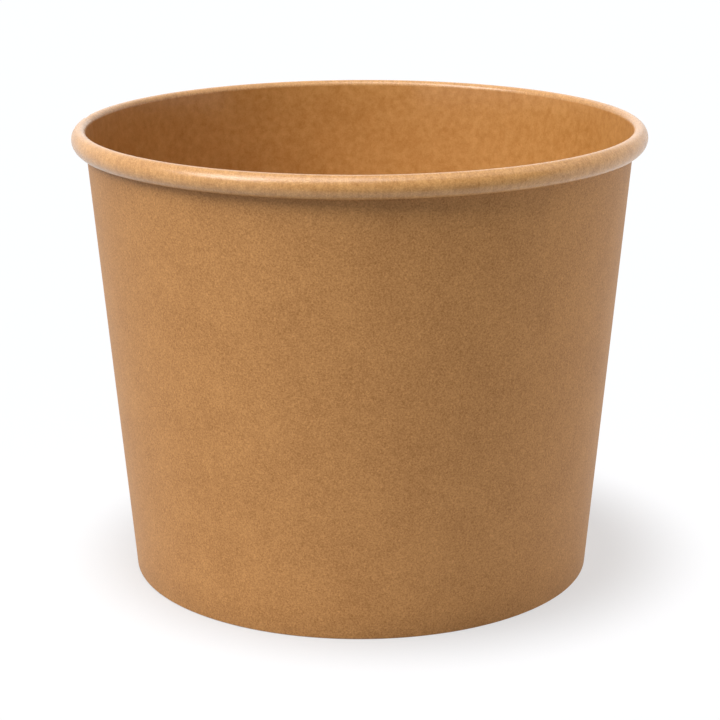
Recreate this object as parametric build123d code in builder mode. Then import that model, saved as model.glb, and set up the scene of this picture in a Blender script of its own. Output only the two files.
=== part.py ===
"""Paperboard food bucket: a wrapped side wall with a rolled rim, and a recessed base sealed into its foot.

Millimetres and degrees. +Z is up, and the origin is on the floor at the centre of the foot.
"""

import os
from math import acos, asin, atan2, cos, degrees, hypot, radians, sin, sqrt, tan

from build123d import *

# Overall sizes
rim_diameter = 180.0  # over the rolled rim
foot_diameter = 147.5  # outside of the wall at the floor
height = 143.8  # floor to the top of the rolled rim

# Sheets
wall_board = 0.5  # thickness of the side wall's paperboard
base_board = 0.45  # thickness of the base's paperboard
seal_gap = 0.05  # clearance left for the seal on each face of the base's skirt

# Rolled rim: radii of the face that shows, and how far each bend turns
roll_top_radius = 1.83
roll_side_radius = 3.82
roll_shoulder = 35.0  # slope, below level, where the top bend passes into the side bend
roll_tuck = 70.0  # turn past level of the edge tucked up under the roll
tuck_clearance = 0.65  # tucked edge to the wall's outer face, with room there for the side seam's lap

# Foot: the wall's lower edge is folded in and up, around the base's skirt
hem_height = 8.5  # floor to the free edge of the folded hem
base_recess = 10.0  # floor to the underside of the base
base_bend = 0.6  # inside radius where the base turns down into its skirt
skirt_clearance = 0.4  # skirt's lower edge to the bottom of the fold

# Side seam: the end of the sheet laps over its start
seam_angle = 174.0  # place of the inner edge, round from +X
seam_overlap = 9.0  # width of the lap, measured at the foot
seal_press = 0.06  # how far the sealed layers are pressed into each other
lap_start = 0.6  # floor to the lower end of the lap, clear of the fold

# Centre of the roll's top bend
roll_x = rim_diameter / 2 - roll_top_radius * sin(radians(roll_shoulder))
roll_x -= roll_side_radius * (1 - sin(radians(roll_shoulder)))
roll_z = height - roll_top_radius

# The wall's inner face leaves the fold and runs up tangent to that bend
fold_x = foot_diameter / 2 - wall_board
fold_to_roll = hypot(roll_x - fold_x, roll_z - wall_board)
lean = degrees(atan2(roll_x - fold_x, roll_z - wall_board) - asin(roll_top_radius / fold_to_roll))
wall_run = sqrt(fold_to_roll**2 - roll_top_radius**2)
across = 1 / cos(radians(lean))  # level width of a sheet of unit thickness
fold_width = (base_board + 2 * seal_gap) * across

# The roll's under bend starts at the foot of its side bend, and its radius leaves the clearance to the wall
under_x = roll_top_radius * sin(radians(roll_shoulder))
under_drop = (2 * roll_side_radius - roll_top_radius) * cos(radians(roll_shoulder))
under_room = roll_top_radius + under_x * cos(radians(lean)) + under_drop * sin(radians(lean))
roll_under_radius = under_room - wall_board - tuck_clearance
roll_under_radius /= 1 + sin(radians(roll_shoulder + lean))

# The lap's outer layer lifts off the first layer along a straight tangent
lap_lift = wall_board - seal_press
lift_angle = degrees(acos(fold_x / (fold_x + lap_lift)))
lap_angle = degrees(seam_overlap / (foot_diameter / 2))


def wall_inside(z):
    """Radius of the wall's inner face at a height above the floor."""
    return fold_x + (z - wall_board) * tan(radians(lean))


def wall_section(angle, lift, from_lap=False):
    """The side wall's sheet cut at one angle round the bucket, lifted off the first layer.

    The line is the sheet's inner face, which comes to the outside over the roll. The sheet's
    thickness lies on its right. A section from the lap leaves out the fold and the hem.
    """
    step = lift * across
    wall_end = (
        wall_inside(wall_board) + wall_run * sin(radians(lean)) + lift * cos(radians(lean)),
        wall_board + wall_run * cos(radians(lean)) - lift * sin(radians(lean)),
    )
    if from_lap:
        corners = [(wall_inside(lap_start) + step, lap_start), wall_end]
    else:
        corners = [
            (wall_inside(hem_height) - fold_width, hem_height),
            (wall_inside(wall_board) - fold_width, wall_board),
            (wall_inside(wall_board) + step, wall_board),
            wall_end,
        ]
    with BuildSketch(Plane.XZ.rotated((0, 0, angle))) as section:
        with BuildLine():
            Polyline(*corners)
            heading = (sin(radians(lean)), cos(radians(lean)))
            top = JernArc(wall_end, heading, roll_top_radius - lift, lean - 90 - roll_shoulder)
            side = JernArc(top @ 1, top % 1, roll_side_radius - lift, 2 * roll_shoulder - 180)
            JernArc(side @ 1, side % 1, roll_under_radius - lift, -roll_shoulder - roll_tuck)
            offset(amount=wall_board, side=Side.RIGHT)
        make_face()
    return section.sketch


# Side wall: one sheet wrapped round once, with its end lapped over its start
with BuildPart() as side_wall:
    revolve(wall_section(seam_angle, 0), axis=Axis.Z, revolution_arc=360 - lift_angle)
    loft([wall_section(seam_angle - lift_angle, 0), wall_section(seam_angle, lap_lift)], ruled=True)
    revolve(wall_section(seam_angle, lap_lift, from_lap=True), axis=Axis.Z, revolution_arc=lap_angle)

# Base: a disc with its edge turned down into a skirt that stands in the wall's fold
with BuildPart() as base:
    base_top = base_recess + base_board
    skirt_end = wall_board + skirt_clearance
    skirt_gap = seal_gap * across
    with BuildSketch(Plane.XZ):
        with BuildLine():
            FilletPolyline(
                (0, base_top),
                (wall_inside(base_top) - skirt_gap, base_top),
                (wall_inside(skirt_end) - skirt_gap, skirt_end),
                radius=base_bend + base_board,
            )
            offset(amount=base_board, side=Side.RIGHT)
        make_face()
    revolve(axis=Axis.Z)

side_wall.part.label = "side_wall"
base.part.label = "base"

os.makedirs("parts", exist_ok=True)
export_step(side_wall.part, "parts/side_wall.step")
export_step(base.part, "parts/base.step")
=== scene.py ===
"""Paperboard food bucket: its two sheets, their finishes and a plain studio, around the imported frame."""

import math

import bmesh
import bpy
from bpy.props import FloatProperty, FloatVectorProperty, IntProperty, PointerProperty
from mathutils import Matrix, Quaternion, Vector


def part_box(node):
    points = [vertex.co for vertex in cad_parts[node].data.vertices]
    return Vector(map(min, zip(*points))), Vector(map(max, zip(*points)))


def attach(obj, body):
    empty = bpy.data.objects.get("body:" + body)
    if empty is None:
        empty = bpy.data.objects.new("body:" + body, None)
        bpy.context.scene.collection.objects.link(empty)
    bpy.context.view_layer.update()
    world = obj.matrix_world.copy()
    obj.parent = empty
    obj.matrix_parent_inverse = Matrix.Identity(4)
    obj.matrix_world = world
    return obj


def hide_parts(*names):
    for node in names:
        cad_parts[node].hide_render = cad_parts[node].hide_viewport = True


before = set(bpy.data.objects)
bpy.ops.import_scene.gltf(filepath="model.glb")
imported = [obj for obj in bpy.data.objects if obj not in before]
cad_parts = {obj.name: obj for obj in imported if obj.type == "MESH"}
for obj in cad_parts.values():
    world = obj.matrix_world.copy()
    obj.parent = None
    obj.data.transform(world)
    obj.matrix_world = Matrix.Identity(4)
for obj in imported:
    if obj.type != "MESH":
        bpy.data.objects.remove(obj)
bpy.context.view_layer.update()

bl_info = {
    "name": "Paper food bucket",
    "version": (1, 0, 0),
    "blender": (4, 5, 0),
    "location": "3D View > Sidebar > Bucket",
    "description": "Models a paperboard bucket with a rolled rim, a lapped seam and a recessed base",
    "category": "Mesh",
}

MM = 0.001
WALL_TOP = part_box("side_wall")[1]
BASE_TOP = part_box("base")[1]


def linear(hex_colour):
    """An sRGB hex colour as the linear values that Blender's sockets take."""
    channels = (int(hex_colour[i : i + 2], 16) / 255 for i in (1, 3, 5))
    return tuple(c / 12.92 if c <= 0.04045 else ((c + 0.055) / 1.055) ** 2.4 for c in channels)


def length(name, description, default):
    """A size in metres, shown in the panel as a length."""
    return FloatProperty(
        name=name, description=description, default=default, unit="LENGTH", precision=5
    )


def angle(name, description, degrees):
    """An angle, shown in the panel in degrees."""
    return FloatProperty(
        name=name, description=description, default=math.radians(degrees), subtype="ANGLE"
    )


def strength(name, description, default):
    """A light level, at which 1 makes a white face white."""
    return FloatProperty(name=name, description=description, default=default, min=0.0)


def colour(name, description, hex_colour):
    """A colour that the panel shows as a swatch."""
    return FloatVectorProperty(
        name=name, description=description, default=linear(hex_colour), subtype="COLOR", min=0.0, max=1.0
    )


class BucketSizes(bpy.types.PropertyGroup):
    """The two sheets' sizes, as the solids have them."""

    rim_radius: length("Rim radius", "Axis to the outside of the rolled rim", WALL_TOP.x)
    height: length("Height", "Floor to the top of the rolled rim", WALL_TOP.z)
    foot_radius: length("Foot radius", "Axis to the outside of the wall at the floor", 73.75 * MM)
    wall_board: length("Wall board", "Thickness of the side wall's paperboard", 0.5 * MM)
    base_board: length("Base board", "Thickness of the base's paperboard", 0.45 * MM)
    base_top: length("Base top", "Floor to the upper face of the base", BASE_TOP.z)
    seal_gap: length("Seal gap", "Room for the seal on each face of the base's skirt", 0.05 * MM)
    roll_top: length("Roll top", "Radius of the rim's top bend", 1.83 * MM)
    roll_side: length("Roll side", "Radius of the rim's outer bend", 3.82 * MM)
    roll_under: length("Roll underside", "Radius of the rim's under bend", 1.3 * MM)
    roll_shoulder: angle("Roll shoulder", "Slope where the top bend passes into the outer bend", 35)
    roll_tuck: angle("Roll tuck", "Turn past level of the edge tucked up under the rim", 70)
    hem_height: length("Hem height", "Floor to the free edge of the folded hem", 8.5 * MM)
    fold_bend: length("Fold bend", "Inside radius of the two bends at the foot", 0.05 * MM)
    base_bend: length("Base bend", "Inside radius where the base turns down", 0.6 * MM)
    skirt_clearance: length("Skirt clearance", "Skirt's lower edge to the bottom of the fold", 0.4 * MM)
    seam_angle: angle("Seam angle", "Place of the sheet's inner edge, round from +X", 174)
    seam_overlap: length("Seam overlap", "Width of the lap, measured at the foot", 9 * MM)
    lap_gap: length("Lap gap", "Clearance between the lapped layers", 0.02 * MM)
    columns: IntProperty(name="Columns", description="Faces round the side wall", default=600)
    base_sag: length("Base sag", "Drop of the base's middle", 0.3 * MM)


class BucketColours(bpy.types.PropertyGroup):
    """The board's colours."""

    face_light: colour("Outside light", "Pale fibres of the outer face", "#CA9357")
    face_dark: colour("Outside dark", "Dark fibres of the outer face", "#92602D")
    lining_light: colour("Inside light", "Pale clouds of the lined face", "#CD9656")
    lining_dark: colour("Inside dark", "Dark clouds of the lined face", "#A86F30")
    # The rim's colours are paler than the lined face's: partly the board drawn tight over the roll, partly
    # painted light in place of the floor's bounce onto the roll's underside
    roll_light_painted_paler: colour("Rim light", "Pale fibres of the rolled rim", "#D5A062")
    roll_dark_painted_paler: colour("Rim dark", "Dark fibres of the rolled rim", "#AC773E")
    cut_edge: colour("Cut edge", "Raw fibres where the board was cut", "#CBA377")


class BucketStudio(bpy.types.PropertyGroup):
    """Camera and light."""

    lens: FloatProperty(
        name="Lens", description="Focal length on a 36 mm sensor", default=107.16, unit="CAMERA"
    )
    distance: length("Distance", "Camera to the point it looks at", 694.1 * MM)
    elevation: angle("Elevation", "Camera's height above level", 15.98)
    roll: angle("Roll", "Camera's turn about its own axis", -0.2)
    target: FloatVectorProperty(
        name="Target",
        description="Point at the middle of the picture",
        default=(-0.14 * MM, 0, 65.94 * MM),
        unit="LENGTH",
    )
    key_azimuth: angle("Key azimuth", "Softbox's place to the left of the camera", 59)
    key_elevation: angle("Key elevation", "Softbox's height above level", 40)
    key_spread: angle("Key spread", "Angle that the softbox fills, seen from the bucket", 30)
    key_strength: strength("Key strength", "Softbox's light on a face turned to it", 0.79)
    top_azimuth: angle("Top azimuth", "Overhead light's place to the left of the camera", 20)
    top_elevation: angle("Top elevation", "Overhead light's height above level", 66)
    top_spread: angle("Top spread", "Angle that the overhead light fills, seen from the bucket", 40)
    top_strength: strength("Top strength", "Overhead light on a face turned to it", 0.52)
    back_azimuth: angle("Back azimuth", "Back light's place to the left of the camera", 180)
    back_elevation: angle("Back elevation", "Back light's height above level", 30)
    back_spread: angle("Back spread", "Angle that the back light fills, seen from the bucket", 60)
    back_strength: strength("Back strength", "Back light on a face turned to it", 0.1)
    side_azimuth: angle("Side azimuth", "Side light's place to the left of the camera", 290)
    side_elevation: angle("Side elevation", "Side light's height above level", 55)
    side_spread: angle("Side spread", "Angle that the side light fills, seen from the bucket", 60)
    side_strength: strength("Side strength", "Side light on a face turned to it", 0.11)
    shadow_azimuth: angle("Shadow azimuth", "Shadow light's place to the left of the camera", 48)
    shadow_elevation: angle("Shadow elevation", "Shadow light's height above level", 85)
    shadow_spread: angle("Shadow spread", "Angle that the shadow light fills, seen from the floor", 15)
    shadow_strength: strength("Shadow strength", "Floor's light that the bucket can shade", 0.66)
    even_azimuth: angle("Even azimuth", "Even floor light's place to the left of the camera", 0)
    even_elevation: angle("Even elevation", "Even floor light's height above level", 90)
    even_spread: angle("Even spread", "Angle that the even floor light fills", 40)
    even_strength: strength("Even strength", "Floor's light that the bucket doesn't shade", 0.37)
    card_azimuth: angle("Card azimuth", "White card's place to the left of the camera", 272)
    card_distance: length("Card distance", "White card to the bucket's axis", 450 * MM)
    card_height: length("Card height", "Floor to the card's upper edge, below the rim", 125 * MM)
    card_strength: strength("Card strength", "Card's light on a face turned to it", 0.28)
    curtain_azimuth: angle("Curtain azimuth", "Black curtain's place to the left of the camera", -20)
    curtain_elevation: angle("Curtain elevation", "Black curtain's height above level", 10)
    curtain_distance: length("Curtain distance", "Black curtain to the bucket", 250 * MM)
    curtain_size: length("Curtain size", "Black curtain's side", 500 * MM)
    fill: strength("Fill", "Even light from the pale room", 0.16)
    floor_colour: colour("Floor", "Paper of the floor", "#B6B8BB")
    floor_lift: strength("Floor lift", "White added where the floor is seen, and not where it lights", 0.435)


def add(tree, kind, inputs=None, **settings):
    """Add a node, apply its settings, then set its inputs or link them to other nodes' outputs."""
    node = tree.nodes.new(kind)
    for name, value in settings.items():
        setattr(node, name, value)
    for name, value in (inputs or {}).items():
        if isinstance(value, bpy.types.NodeSocket):
            tree.links.new(value, node.inputs[name])
        else:
            node.inputs[name].default_value = value
    return node


def new_tree(owner):
    """An emptied node tree for a material or world."""
    owner.use_nodes = True
    owner.node_tree.nodes.clear()
    return owner.node_tree


def per_mm(cell):
    """Texture scale whose cells measure that many millimetres on the object."""
    return 1 / (cell * MM)


def unbleached_board(
    name,
    light,
    dark,
    grain,
    mottle,
    cloud=0.0,
    hair=0.0,
    streak=0.0,
    gloss=0.2,
    film=0.0,
    film_haze=0.2,
    relief=0.02,
):
    """Unbleached paperboard: brown fibres pressed flat, seen as fine specks, pale hairs and soft clouds."""
    material = bpy.data.materials.get(name) or bpy.data.materials.new(name)
    tree = new_tree(material)
    place = add(tree, "ShaderNodeTexCoord").outputs["Object"]

    # Fibres are about 0.03 mm wide, too fine to show, so their specks and hairs are drawn coarser
    specks = add(
        tree, "ShaderNodeTexNoise", {"Vector": place, "Scale": per_mm(0.5), "Detail": 1.0, "Distortion": 0.6}
    )
    tufts = add(
        tree, "ShaderNodeTexNoise", {"Vector": place, "Scale": per_mm(2.6), "Detail": 3.0, "Roughness": 0.6}
    )
    clouds = add(tree, "ShaderNodeTexNoise", {"Vector": place, "Scale": per_mm(14), "Detail": 2.0})
    tangle = add(
        tree, "ShaderNodeTexNoise", {"Vector": place, "Scale": per_mm(1.9), "Detail": 1.0, "Distortion": 1.2}
    )
    beside = add(tree, "ShaderNodeMath", {0: tangle.outputs["Fac"], 1: 0.5}, operation="SUBTRACT")
    beside = add(tree, "ShaderNodeMath", {0: beside.outputs[0]}, operation="ABSOLUTE")
    hairs = add(
        tree,
        "ShaderNodeMapRange",
        {"Value": beside.outputs[0], "From Min": 0.0, "From Max": 0.03, "To Min": 1.0, "To Max": 0.0},
    )

    # Rolling stretches the board into fine streaks across the roll, set out by the way round the rim
    parts = add(tree, "ShaderNodeSeparateXYZ", {"Vector": place}).outputs
    around = add(tree, "ShaderNodeMath", {0: parts["Y"], 1: parts["X"]}, operation="ARCTAN2")
    along = add(tree, "ShaderNodeMath", {0: around.outputs[0], 1: WALL_TOP.x}, operation="MULTIPLY")
    streaks = add(
        tree,
        "ShaderNodeTexNoise",
        {"W": along.outputs[0], "Scale": per_mm(0.8), "Detail": 2.0},
        noise_dimensions="1D",
    )

    # The layers sum about a middle tone, and the hairs only lighten it
    tone = 0.5 - (grain + mottle + cloud + streak) / 2
    layers = ((specks, grain), (tufts, mottle), (clouds, cloud), (hairs, hair), (streaks, streak))
    for source, weight in layers:
        tone = add(
            tree, "ShaderNodeMath", {0: source.outputs[0], 1: weight, 2: tone}, operation="MULTIPLY_ADD"
        ).outputs[0]
    pulp = add(
        tree, "ShaderNodeMix", {"Factor": tone, "A": (*dark, 1), "B": (*light, 1)}, data_type="RGBA"
    )
    pressed = add(
        tree,
        "ShaderNodeBump",
        {"Height": specks.outputs["Fac"], "Strength": 1.0, "Distance": relief * MM},
    )
    shader = add(
        tree,
        "ShaderNodeBsdfPrincipled",
        {
            "Base Color": pulp.outputs["Result"],
            "Roughness": 0.55,
            "Specular IOR Level": gloss,
            "Coat Weight": film,
            "Coat Roughness": film_haze,
            "Normal": pressed.outputs["Normal"],
            "Coat Normal": pressed.outputs["Normal"],
        },
    )
    add(tree, "ShaderNodeOutputMaterial", {"Surface": shader.outputs["BSDF"]})
    return material


# First of the three slots that the roll's faces use
ROLL_SLOT = 3


def board_materials(colours):
    """Face, back and cut edge of a sheet, then the same of its roll, in the sheets' slot order."""
    # Brown board with a thin plastic film: mottled, with a smooth sheen over it
    lined = unbleached_board(
        "lined_brown_board", colours.lining_light, colours.lining_dark, 0.5, 1.2, cloud=0.4, film=0.8
    )
    # Bare brown board pressed between rollers: an even fine grain with a low, broad gloss
    plain = unbleached_board(
        "calendered_brown_board",
        colours.face_light,
        colours.face_dark,
        1.4,
        0.35,
        cloud=0.35,
        hair=0.2,
        gloss=0.4,
    )
    # Board cut through by a blade: paler, rougher and matt, because the fibres stand on end
    cut = unbleached_board(
        "guillotined_board_edge", colours.cut_edge, colours.face_light, 1.0, 0.2, gloss=0.25, relief=0.03
    )
    # Filmed board drawn over the rim: streaked and ruffled, so that its highlights break up, and given paler
    # colours that partly paint in the floor's bounce light on the roll
    rolled = unbleached_board(
        "rolled_lined_board",
        colours.roll_light_painted_paler,
        colours.roll_dark_painted_paler,
        1.4,
        1.2,
        cloud=0.4,
        hair=0.2,
        streak=0.4,
        gloss=0.3,
        film=0.85,
        film_haze=0.25,
        relief=0.05,
    )
    return lined, plain, cut, rolled, plain, cut


def walk(start, heading, moves):
    """Points of a line of straights and bends: each move is a length or radius, a turn and a step count."""
    x, z = start
    points = [(x, z)]
    for reach, turn, steps in moves:
        for _ in range(steps):
            if turn:
                chord = 2 * reach * math.sin(abs(turn) / steps / 2)
                heading += turn / steps / 2
                x += chord * math.cos(heading)
                z += chord * math.sin(heading)
                heading += turn / steps / 2
            else:
                x += reach / steps * math.cos(heading)
                z += reach / steps * math.sin(heading)
            points.append((x, z))
    return points


def wall_lean(size):
    """Lean of the wall, whose inner face runs from the fold up to the rim's top bend."""
    across, up = roll_centre(size)
    across -= size.foot_radius - size.wall_board
    up -= size.wall_board
    return math.atan2(across, up) - math.asin(size.roll_top / math.hypot(across, up))


def roll_centre(size):
    """Radius and height of the centre of the rim's top bend."""
    shoulder = math.sin(size.roll_shoulder)
    across = size.rim_radius - size.roll_top * shoulder - size.roll_side * (1 - shoulder)
    return across, size.height - size.roll_top


def wall_inside(size, height):
    """Radius of the wall's inner face at a height."""
    return size.foot_radius - size.wall_board + (height - size.wall_board) * math.tan(wall_lean(size))


# Steps of the side wall's section: hem, inner bend, floor and outer bend of the fold, then wall, then roll
FOLD_STEPS = (4, 4, 1, 4)
WALL_STEPS = 16
ROLL_STEPS = (14, 12, 10)
FOLD_ROWS = sum(FOLD_STEPS)
ROLL_ROW = FOLD_ROWS + WALL_STEPS


def wall_line(size, lift):
    """Section of the wall's inner face, from the hem's edge to the rim's tucked edge, lifted for the lap."""
    lean = wall_lean(size)
    quarter = math.pi / 2
    fold = (size.base_board + 2 * size.seal_gap) / math.cos(lean)
    drop = size.hem_height - size.wall_board
    start = (wall_inside(size, size.hem_height) - fold, size.hem_height)
    inner_bend = size.fold_bend * math.tan((quarter + lean) / 2)
    outer_bend = size.fold_bend * math.tan((quarter - lean) / 2)
    across, up = roll_centre(size)
    across -= size.foot_radius - size.wall_board
    up -= size.wall_board
    rise = math.sqrt(across**2 + up**2 - size.roll_top**2) - lift * math.tan(lean)
    moves = [
        (drop / math.cos(lean) - inner_bend, 0, FOLD_STEPS[0]),
        (size.fold_bend, quarter + lean, FOLD_STEPS[1]),
        (fold + lift / math.cos(lean) - inner_bend - outer_bend, 0, FOLD_STEPS[2]),
        (size.fold_bend, quarter - lean, FOLD_STEPS[3]),
        (rise - outer_bend, 0, WALL_STEPS),
        (size.roll_top - lift, lean - quarter - size.roll_shoulder, ROLL_STEPS[0]),
        (size.roll_side - lift, 2 * size.roll_shoulder - math.pi, ROLL_STEPS[1]),
        (size.roll_under - lift, -size.roll_shoulder - size.roll_tuck, ROLL_STEPS[2]),
    ]
    return walk(start, -quarter - lean, moves)


def in_section(point, turn):
    """A section's point, at an angle round the bucket."""
    return Vector((point[0] * math.cos(turn), point[0] * math.sin(turn), point[1]))


def new_piece(name, materials):
    """Make the new primitive a named piece with its materials."""
    piece = bpy.context.object
    piece.name = name
    piece.data.name = name
    for material in materials:
        piece.data.materials.append(material)
    return piece


def thicken(piece, board):
    """Give a sheet its thickness behind the modelled face, with other finishes on its back and cut edges."""
    bpy.ops.object.modifier_add(type="SOLIDIFY")
    solidify = piece.modifiers[-1]
    solidify.thickness = board
    solidify.offset = -1
    solidify.use_even_offset = True
    solidify.use_quality_normals = True
    solidify.material_offset = 1
    solidify.material_offset_rim = 2
    bpy.ops.object.modifier_apply(modifier=solidify.name)
    bpy.ops.object.shade_smooth_by_angle(angle=math.radians(35))


class BUCKET_OT_side_wall(bpy.types.Operator):
    """Wrap the side wall's sheet into a lapped cone with a rolled rim and a folded foot"""

    bl_idname = "bucket.side_wall"
    bl_label = "Side wall"

    def execute(self, context):
        size = context.scene.bucket_sizes
        start = size.seam_angle
        line = wall_line(size, 0)
        bpy.ops.object.select_all(action="DESELECT")
        bpy.ops.mesh.primitive_plane_add(size=size.wall_board)
        piece = new_piece("side_wall_board", board_materials(context.scene.bucket_colours))

        # One vertex at the hem's edge is drawn out into the sheet's section
        bpy.ops.object.mode_set(mode="EDIT")
        bpy.ops.mesh.merge(type="CENTER")
        bpy.ops.transform.translate(value=in_section(line[0], start))
        for here, there in zip(line, line[1:]):
            step = in_section(there, start) - in_section(here, start)
            bpy.ops.mesh.extrude_region_move(TRANSFORM_OT_translate={"value": step})
        sheet = bmesh.from_edit_mesh(piece.data)
        row = sheet.verts.layers.int.new("row")
        for vert in sheet.verts:
            vert[row] = min(
                range(len(line)), key=lambda i: (in_section(line[i], start) - vert.co).length
            )
        bmesh.update_edit_mesh(piece.data)
        bpy.ops.mesh.select_all(action="SELECT")

        # The section is spun once round, up to where the end of the sheet lifts off over its start
        inside = size.foot_radius - size.wall_board
        lap_lift = size.wall_board + size.lap_gap
        ramp = math.acos(inside / (inside + lap_lift))
        lap = size.seam_overlap / size.foot_radius
        column = 2 * math.pi / size.columns
        ring = 2 * math.pi - ramp
        bpy.ops.mesh.spin(steps=round(ring / column), angle=ring, center=(0, 0, 0), axis=(0, 0, -1))

        # Its last columns are spun on one by one and lifted, and past the start only the wall and rim go on
        ramp_steps = math.ceil(ramp / column)
        lap_steps = math.ceil(lap / column)
        turns = [ramp * (i + 1) / ramp_steps for i in range(ramp_steps)]
        turns += [ramp + lap * (i + 1) / lap_steps for i in range(lap_steps)]
        before = 0.0
        for turn in turns:
            bpy.ops.mesh.spin(steps=1, angle=turn - before, center=(0, 0, 0), axis=(0, 0, -1))
            lifted = wall_line(size, inside / math.cos(turn) - inside if turn < ramp else lap_lift)
            sheet = bmesh.from_edit_mesh(piece.data)
            row = sheet.verts.layers.int["row"]
            for vert in [v for v in sheet.verts if v.select]:
                vert.co = in_section(lifted[vert[row]], start + ring + turn)
                if abs(turn - ramp) < column / 100 and vert[row] < FOLD_ROWS:
                    vert.select = False
            sheet.select_flush_mode()
            bmesh.update_edit_mesh(piece.data)
            before = turn

        # The fold and hem close on themselves, and the lined face looks into the bucket
        bpy.ops.mesh.select_all(action="SELECT")
        bpy.ops.mesh.remove_doubles(threshold=size.lap_gap / 10)
        bpy.ops.mesh.normals_make_consistent(inside=False)
        sheet = bmesh.from_edit_mesh(piece.data)
        middle = min(sheet.faces, key=lambda f: abs(f.calc_center_median().z - size.height / 2))
        if middle.normal.dot(middle.calc_center_median()) > 0:
            bpy.ops.mesh.flip_normals()

        # The roll has slots of its own, from its face to its cut edge
        sheet = bmesh.from_edit_mesh(piece.data)
        row = sheet.verts.layers.int["row"]
        for face in sheet.faces:
            if min(vert[row] for vert in face.verts) >= ROLL_ROW:
                face.material_index = ROLL_SLOT
        bmesh.update_edit_mesh(piece.data)
        bpy.ops.object.mode_set(mode="OBJECT")
        thicken(piece, size.wall_board)

        # The foot stands flat on the floor
        for vert in piece.data.vertices:
            vert.co.z = max(vert.co.z, 0)
        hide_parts("side_wall")
        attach(piece, "root")
        return {"FINISHED"}


# Faces round the base, rings across its middle, and steps down its bend and its skirt
BASE_SIDES = 240
BASE_RINGS = 8
BASE_BEND_STEPS = 8
SKIRT_STEPS = 6


class BUCKET_OT_base(bpy.types.Operator):
    """Make the base's disc and turn its edge down into a skirt"""

    bl_idname = "bucket.base"
    bl_label = "Base"

    def execute(self, context):
        size = context.scene.bucket_sizes
        lean = wall_lean(size)
        turn = math.pi / 2 + lean
        bend = size.base_bend + size.base_board
        gap = size.seal_gap / math.cos(lean)
        flat = wall_inside(size, size.base_top) - gap - bend * math.tan(turn / 2)
        skirt = size.base_top - size.wall_board - size.skirt_clearance
        skirt = skirt / math.cos(lean) - bend * math.tan(turn / 2)
        moves = [(bend, -turn, BASE_BEND_STEPS), (skirt, 0, SKIRT_STEPS)]
        line = walk((flat, size.base_top), 0, moves)

        bpy.ops.object.select_all(action="DESELECT")
        bpy.ops.mesh.primitive_circle_add(vertices=BASE_SIDES, radius=flat, fill_type="NGON")
        piece = new_piece("base_board", board_materials(context.scene.bucket_colours)[:ROLL_SLOT])
        bpy.ops.object.mode_set(mode="EDIT")
        bpy.ops.mesh.select_mode(type="FACE")
        bpy.ops.mesh.select_all(action="SELECT")
        bpy.ops.transform.translate(value=(0, 0, size.base_top))

        # The middle is inset in rings, each a little lower, as thin board sags
        for _ in range(BASE_RINGS):
            bpy.ops.mesh.inset(thickness=flat / (BASE_RINGS + 1))
            bpy.ops.transform.translate(value=(0, 0, -size.base_sag / BASE_RINGS))

        # The edge is drawn out along the bend and down the skirt
        bpy.ops.mesh.select_mode(type="EDGE")
        bpy.ops.mesh.select_all(action="DESELECT")
        sheet = bmesh.from_edit_mesh(piece.data)
        for edge in sheet.edges:
            edge.select_set(edge.is_boundary)
        bmesh.update_edit_mesh(piece.data)
        for here, there in zip(line, line[1:]):
            drop = (0, 0, there[1] - here[1])
            bpy.ops.mesh.extrude_edges_move(TRANSFORM_OT_translate={"value": drop})
            spread = there[0] / here[0]
            bpy.ops.transform.resize(value=(spread, spread, 1), center_override=(0, 0, 0))
        bpy.ops.mesh.select_all(action="SELECT")
        bpy.ops.mesh.normals_make_consistent(inside=False)
        sheet = bmesh.from_edit_mesh(piece.data)
        middle = max(sheet.faces, key=lambda f: f.calc_area())
        if middle.normal.z < 0:
            bpy.ops.mesh.flip_normals()
        bpy.ops.object.mode_set(mode="OBJECT")
        thicken(piece, size.base_board)
        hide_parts("base")
        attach(piece, "root")
        return {"FINISHED"}


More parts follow.
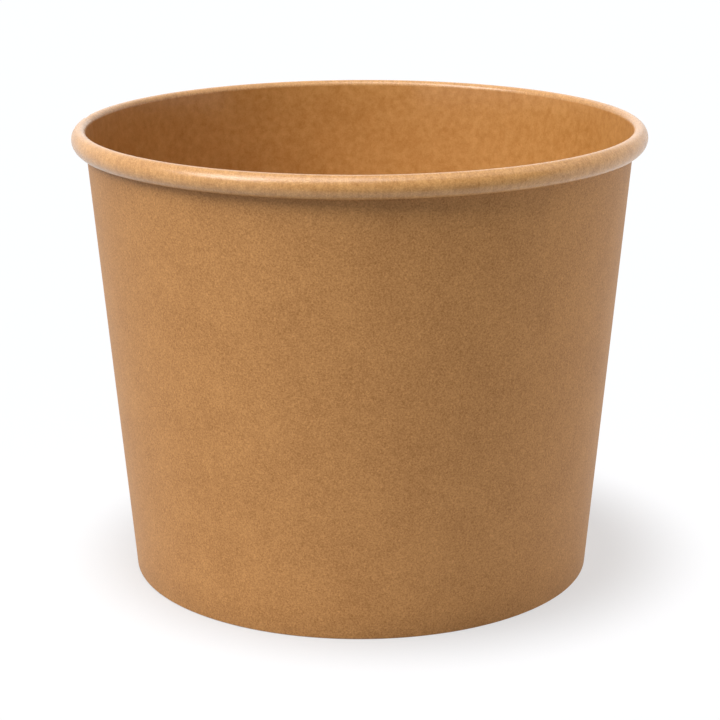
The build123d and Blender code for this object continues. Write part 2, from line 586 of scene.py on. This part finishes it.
class BUCKET_OT_stage(bpy.types.Operator):
    """Set the floor, the light and the camera"""

    bl_idname = "bucket.stage"
    bl_label = "Stage"

    def execute(self, context):
        studio = context.scene.bucket_studio
        context.scene.view_settings.view_transform = "Standard"
        self.floor(studio)
        self.room(context.scene, studio)
        lit = bpy.data.collections.new("lit_pieces")
        for name in ("side_wall_board", "base_board"):
            lit.objects.link(bpy.data.objects[name])
        below = bpy.data.collections.new("lit_floor")
        below.objects.link(bpy.data.objects["floor"])
        self.lamp(studio, "key", lit)
        self.lamp(studio, "back", lit)
        self.lamp(studio, "top", lit)
        self.lamp(studio, "side", lit)
        self.lamp(studio, "shadow", below)
        self.lamp(studio, "even", below, below)
        self.card(studio, lit)
        self.curtain(studio)
        self.camera(context.scene, studio)
        return {"FINISHED"}

    def seen(self, tree):
        """1 for a ray that the camera, a gloss or a clear piece sees, 0 for one that only lights."""
        rays = add(tree, "ShaderNodeLightPath").outputs
        seen = rays["Is Camera Ray"]
        for ray in ("Is Glossy Ray", "Is Transmission Ray"):
            seen = add(tree, "ShaderNodeMath", {0: seen, 1: rays[ray]}, operation="MAXIMUM").outputs[0]
        return seen

    def floor(self, studio):
        """Pale paper floor, which is seen a little lighter than it is lit."""
        bpy.ops.object.select_all(action="DESELECT")
        bpy.ops.mesh.primitive_plane_add(size=8)
        floor = new_piece("floor", [bpy.data.materials.new("matt_pale_paper")])
        # Uncoated paper scatters light evenly, so the floor has a soft shadow and no gloss
        tree = new_tree(floor.data.materials[0])
        paper = add(tree, "ShaderNodeBsdfDiffuse", {"Color": (*studio.floor_colour, 1)})
        lift = add(
            tree, "ShaderNodeMath", {0: self.seen(tree), 1: studio.floor_lift}, operation="MULTIPLY"
        )
        glow = add(tree, "ShaderNodeEmission", {"Strength": lift.outputs[0]})
        both = add(tree, "ShaderNodeAddShader", {0: paper.outputs["BSDF"], 1: glow.outputs["Emission"]})
        add(tree, "ShaderNodeOutputMaterial", {"Surface": both.outputs["Shader"]})

    def room(self, scene, studio):
        """Faint even light from all round, white where it is seen."""
        scene.world = bpy.data.worlds.new("pale_room")
        tree = new_tree(scene.world)
        level = add(
            tree, "ShaderNodeMix", {"Factor": self.seen(tree), "A": studio.fill, "B": 1.0}, data_type="FLOAT"
        )
        light = add(
            tree,
            "ShaderNodeBackground",
            {"Color": (1, 1, 1, 1), "Strength": level.outputs["Result"]},
        )
        add(tree, "ShaderNodeOutputWorld", {"Surface": light.outputs["Background"]})

    def lamp(self, studio, name, lit, shading=None):
        """Wide light from far off, kept to what it should light, and shaded by all or by what is given."""
        azimuth = getattr(studio, name + "_azimuth")
        elevation = getattr(studio, name + "_elevation")
        level = math.cos(elevation)
        aim = Vector((-math.sin(azimuth) * level, -math.cos(azimuth) * level, math.sin(elevation)))
        bpy.ops.object.light_add(type="SUN", location=Vector(studio.target) + aim)
        lamp = bpy.context.object
        lamp.name = name + "_lamp"
        lamp.data.energy = math.pi * getattr(studio, name + "_strength")
        lamp.data.angle = getattr(studio, name + "_spread")
        lamp.rotation_mode = "QUATERNION"
        lamp.rotation_quaternion = aim.to_track_quat("Z", "Y")
        lamp.light_linking.receiver_collection = lit
        lamp.light_linking.blocker_collection = shading

    def card(self, studio, pieces):
        """Lit white card beside the bucket, below its rim, which leaves the inside dark."""
        place = Vector((-math.sin(studio.card_azimuth), -math.cos(studio.card_azimuth), 0))
        place *= studio.card_distance
        place.z = studio.card_height / 2
        bpy.ops.object.light_add(type="AREA", location=place)
        card = bpy.context.object
        card.name = "card_lamp"
        card.data.shape = "RECTANGLE"
        card.data.size = studio.card_distance
        card.data.size_y = studio.card_height
        card.data.energy = math.pi**2 * studio.card_distance**2 * studio.card_strength
        card.rotation_mode = "QUATERNION"
        card.rotation_quaternion = Vector((place.x, place.y, 0)).to_track_quat("Z", "Y")
        card.light_linking.receiver_collection = pieces
        card.visible_glossy = False

    def curtain(self, studio):
        """Black curtain in front on the right, seen only by the gloss, so the board keeps its colour."""
        level = math.cos(studio.curtain_elevation)
        aim = Vector(
            (
                -math.sin(studio.curtain_azimuth) * level,
                -math.cos(studio.curtain_azimuth) * level,
                math.sin(studio.curtain_elevation),
            )
        )
        bpy.ops.object.select_all(action="DESELECT")
        bpy.ops.mesh.primitive_plane_add(size=studio.curtain_size)
        curtain = new_piece("curtain", [bpy.data.materials.new("black_velvet")])
        # Velvet's pile swallows light, so it mirrors as black
        tree = new_tree(curtain.data.materials[0])
        velvet = add(tree, "ShaderNodeBsdfDiffuse", {"Color": (0, 0, 0, 1)})
        add(tree, "ShaderNodeOutputMaterial", {"Surface": velvet.outputs["BSDF"]})
        turn = aim.to_track_quat("Z", "Y").to_matrix()
        for vert in curtain.data.vertices:
            vert.co = turn @ vert.co + aim * studio.curtain_distance
        for ray in ("camera", "diffuse", "transmission", "volume_scatter", "shadow"):
            setattr(curtain, "visible_" + ray, False)

    def camera(self, scene, studio):
        """Camera in front, a little above, with the bucket filling the picture."""
        back = Vector((0, -math.cos(studio.elevation), math.sin(studio.elevation)))
        bpy.ops.object.camera_add(location=Vector(studio.target) + back * studio.distance)
        camera = bpy.context.object
        camera.data.lens = studio.lens
        camera.rotation_mode = "QUATERNION"
        camera.rotation_quaternion = back.to_track_quat("Z", "Y") @ Quaternion((0, 0, 1), studio.roll)
        scene.camera = camera


class BUCKET_PT_panel(bpy.types.Panel):
    """Sizes, colours and studio of the bucket, with a button for each piece"""

    bl_label = "Paper food bucket"
    bl_idname = "BUCKET_PT_panel"
    bl_space_type = "VIEW_3D"
    bl_region_type = "UI"
    bl_category = "Bucket"

    def draw(self, context):
        for group in (context.scene.bucket_sizes, context.scene.bucket_colours, context.scene.bucket_studio):
            box = self.layout.box()
            for name in group.bl_rna.properties.keys():
                if name not in ("rna_type", "name"):
                    box.prop(group, name)
        for operator in (BUCKET_OT_side_wall, BUCKET_OT_base, BUCKET_OT_stage):
            self.layout.operator(operator.bl_idname)


CLASSES = (
    BucketSizes,
    BucketColours,
    BucketStudio,
    BUCKET_OT_side_wall,
    BUCKET_OT_base,
    BUCKET_OT_stage,
    BUCKET_PT_panel,
)


def register():
    for cls in CLASSES:
        bpy.utils.register_class(cls)
    bpy.types.Scene.bucket_sizes = PointerProperty(type=BucketSizes)
    bpy.types.Scene.bucket_colours = PointerProperty(type=BucketColours)
    bpy.types.Scene.bucket_studio = PointerProperty(type=BucketStudio)


def unregister():
    del bpy.types.Scene.bucket_studio
    del bpy.types.Scene.bucket_colours
    del bpy.types.Scene.bucket_sizes
    for cls in reversed(CLASSES):
        bpy.utils.unregister_class(cls)


def main():
    """Build the bucket and its stage."""
    register()
    bpy.ops.bucket.side_wall()
    bpy.ops.bucket.base()
    bpy.ops.bucket.stage()


if __name__ == "__main__":
    main()
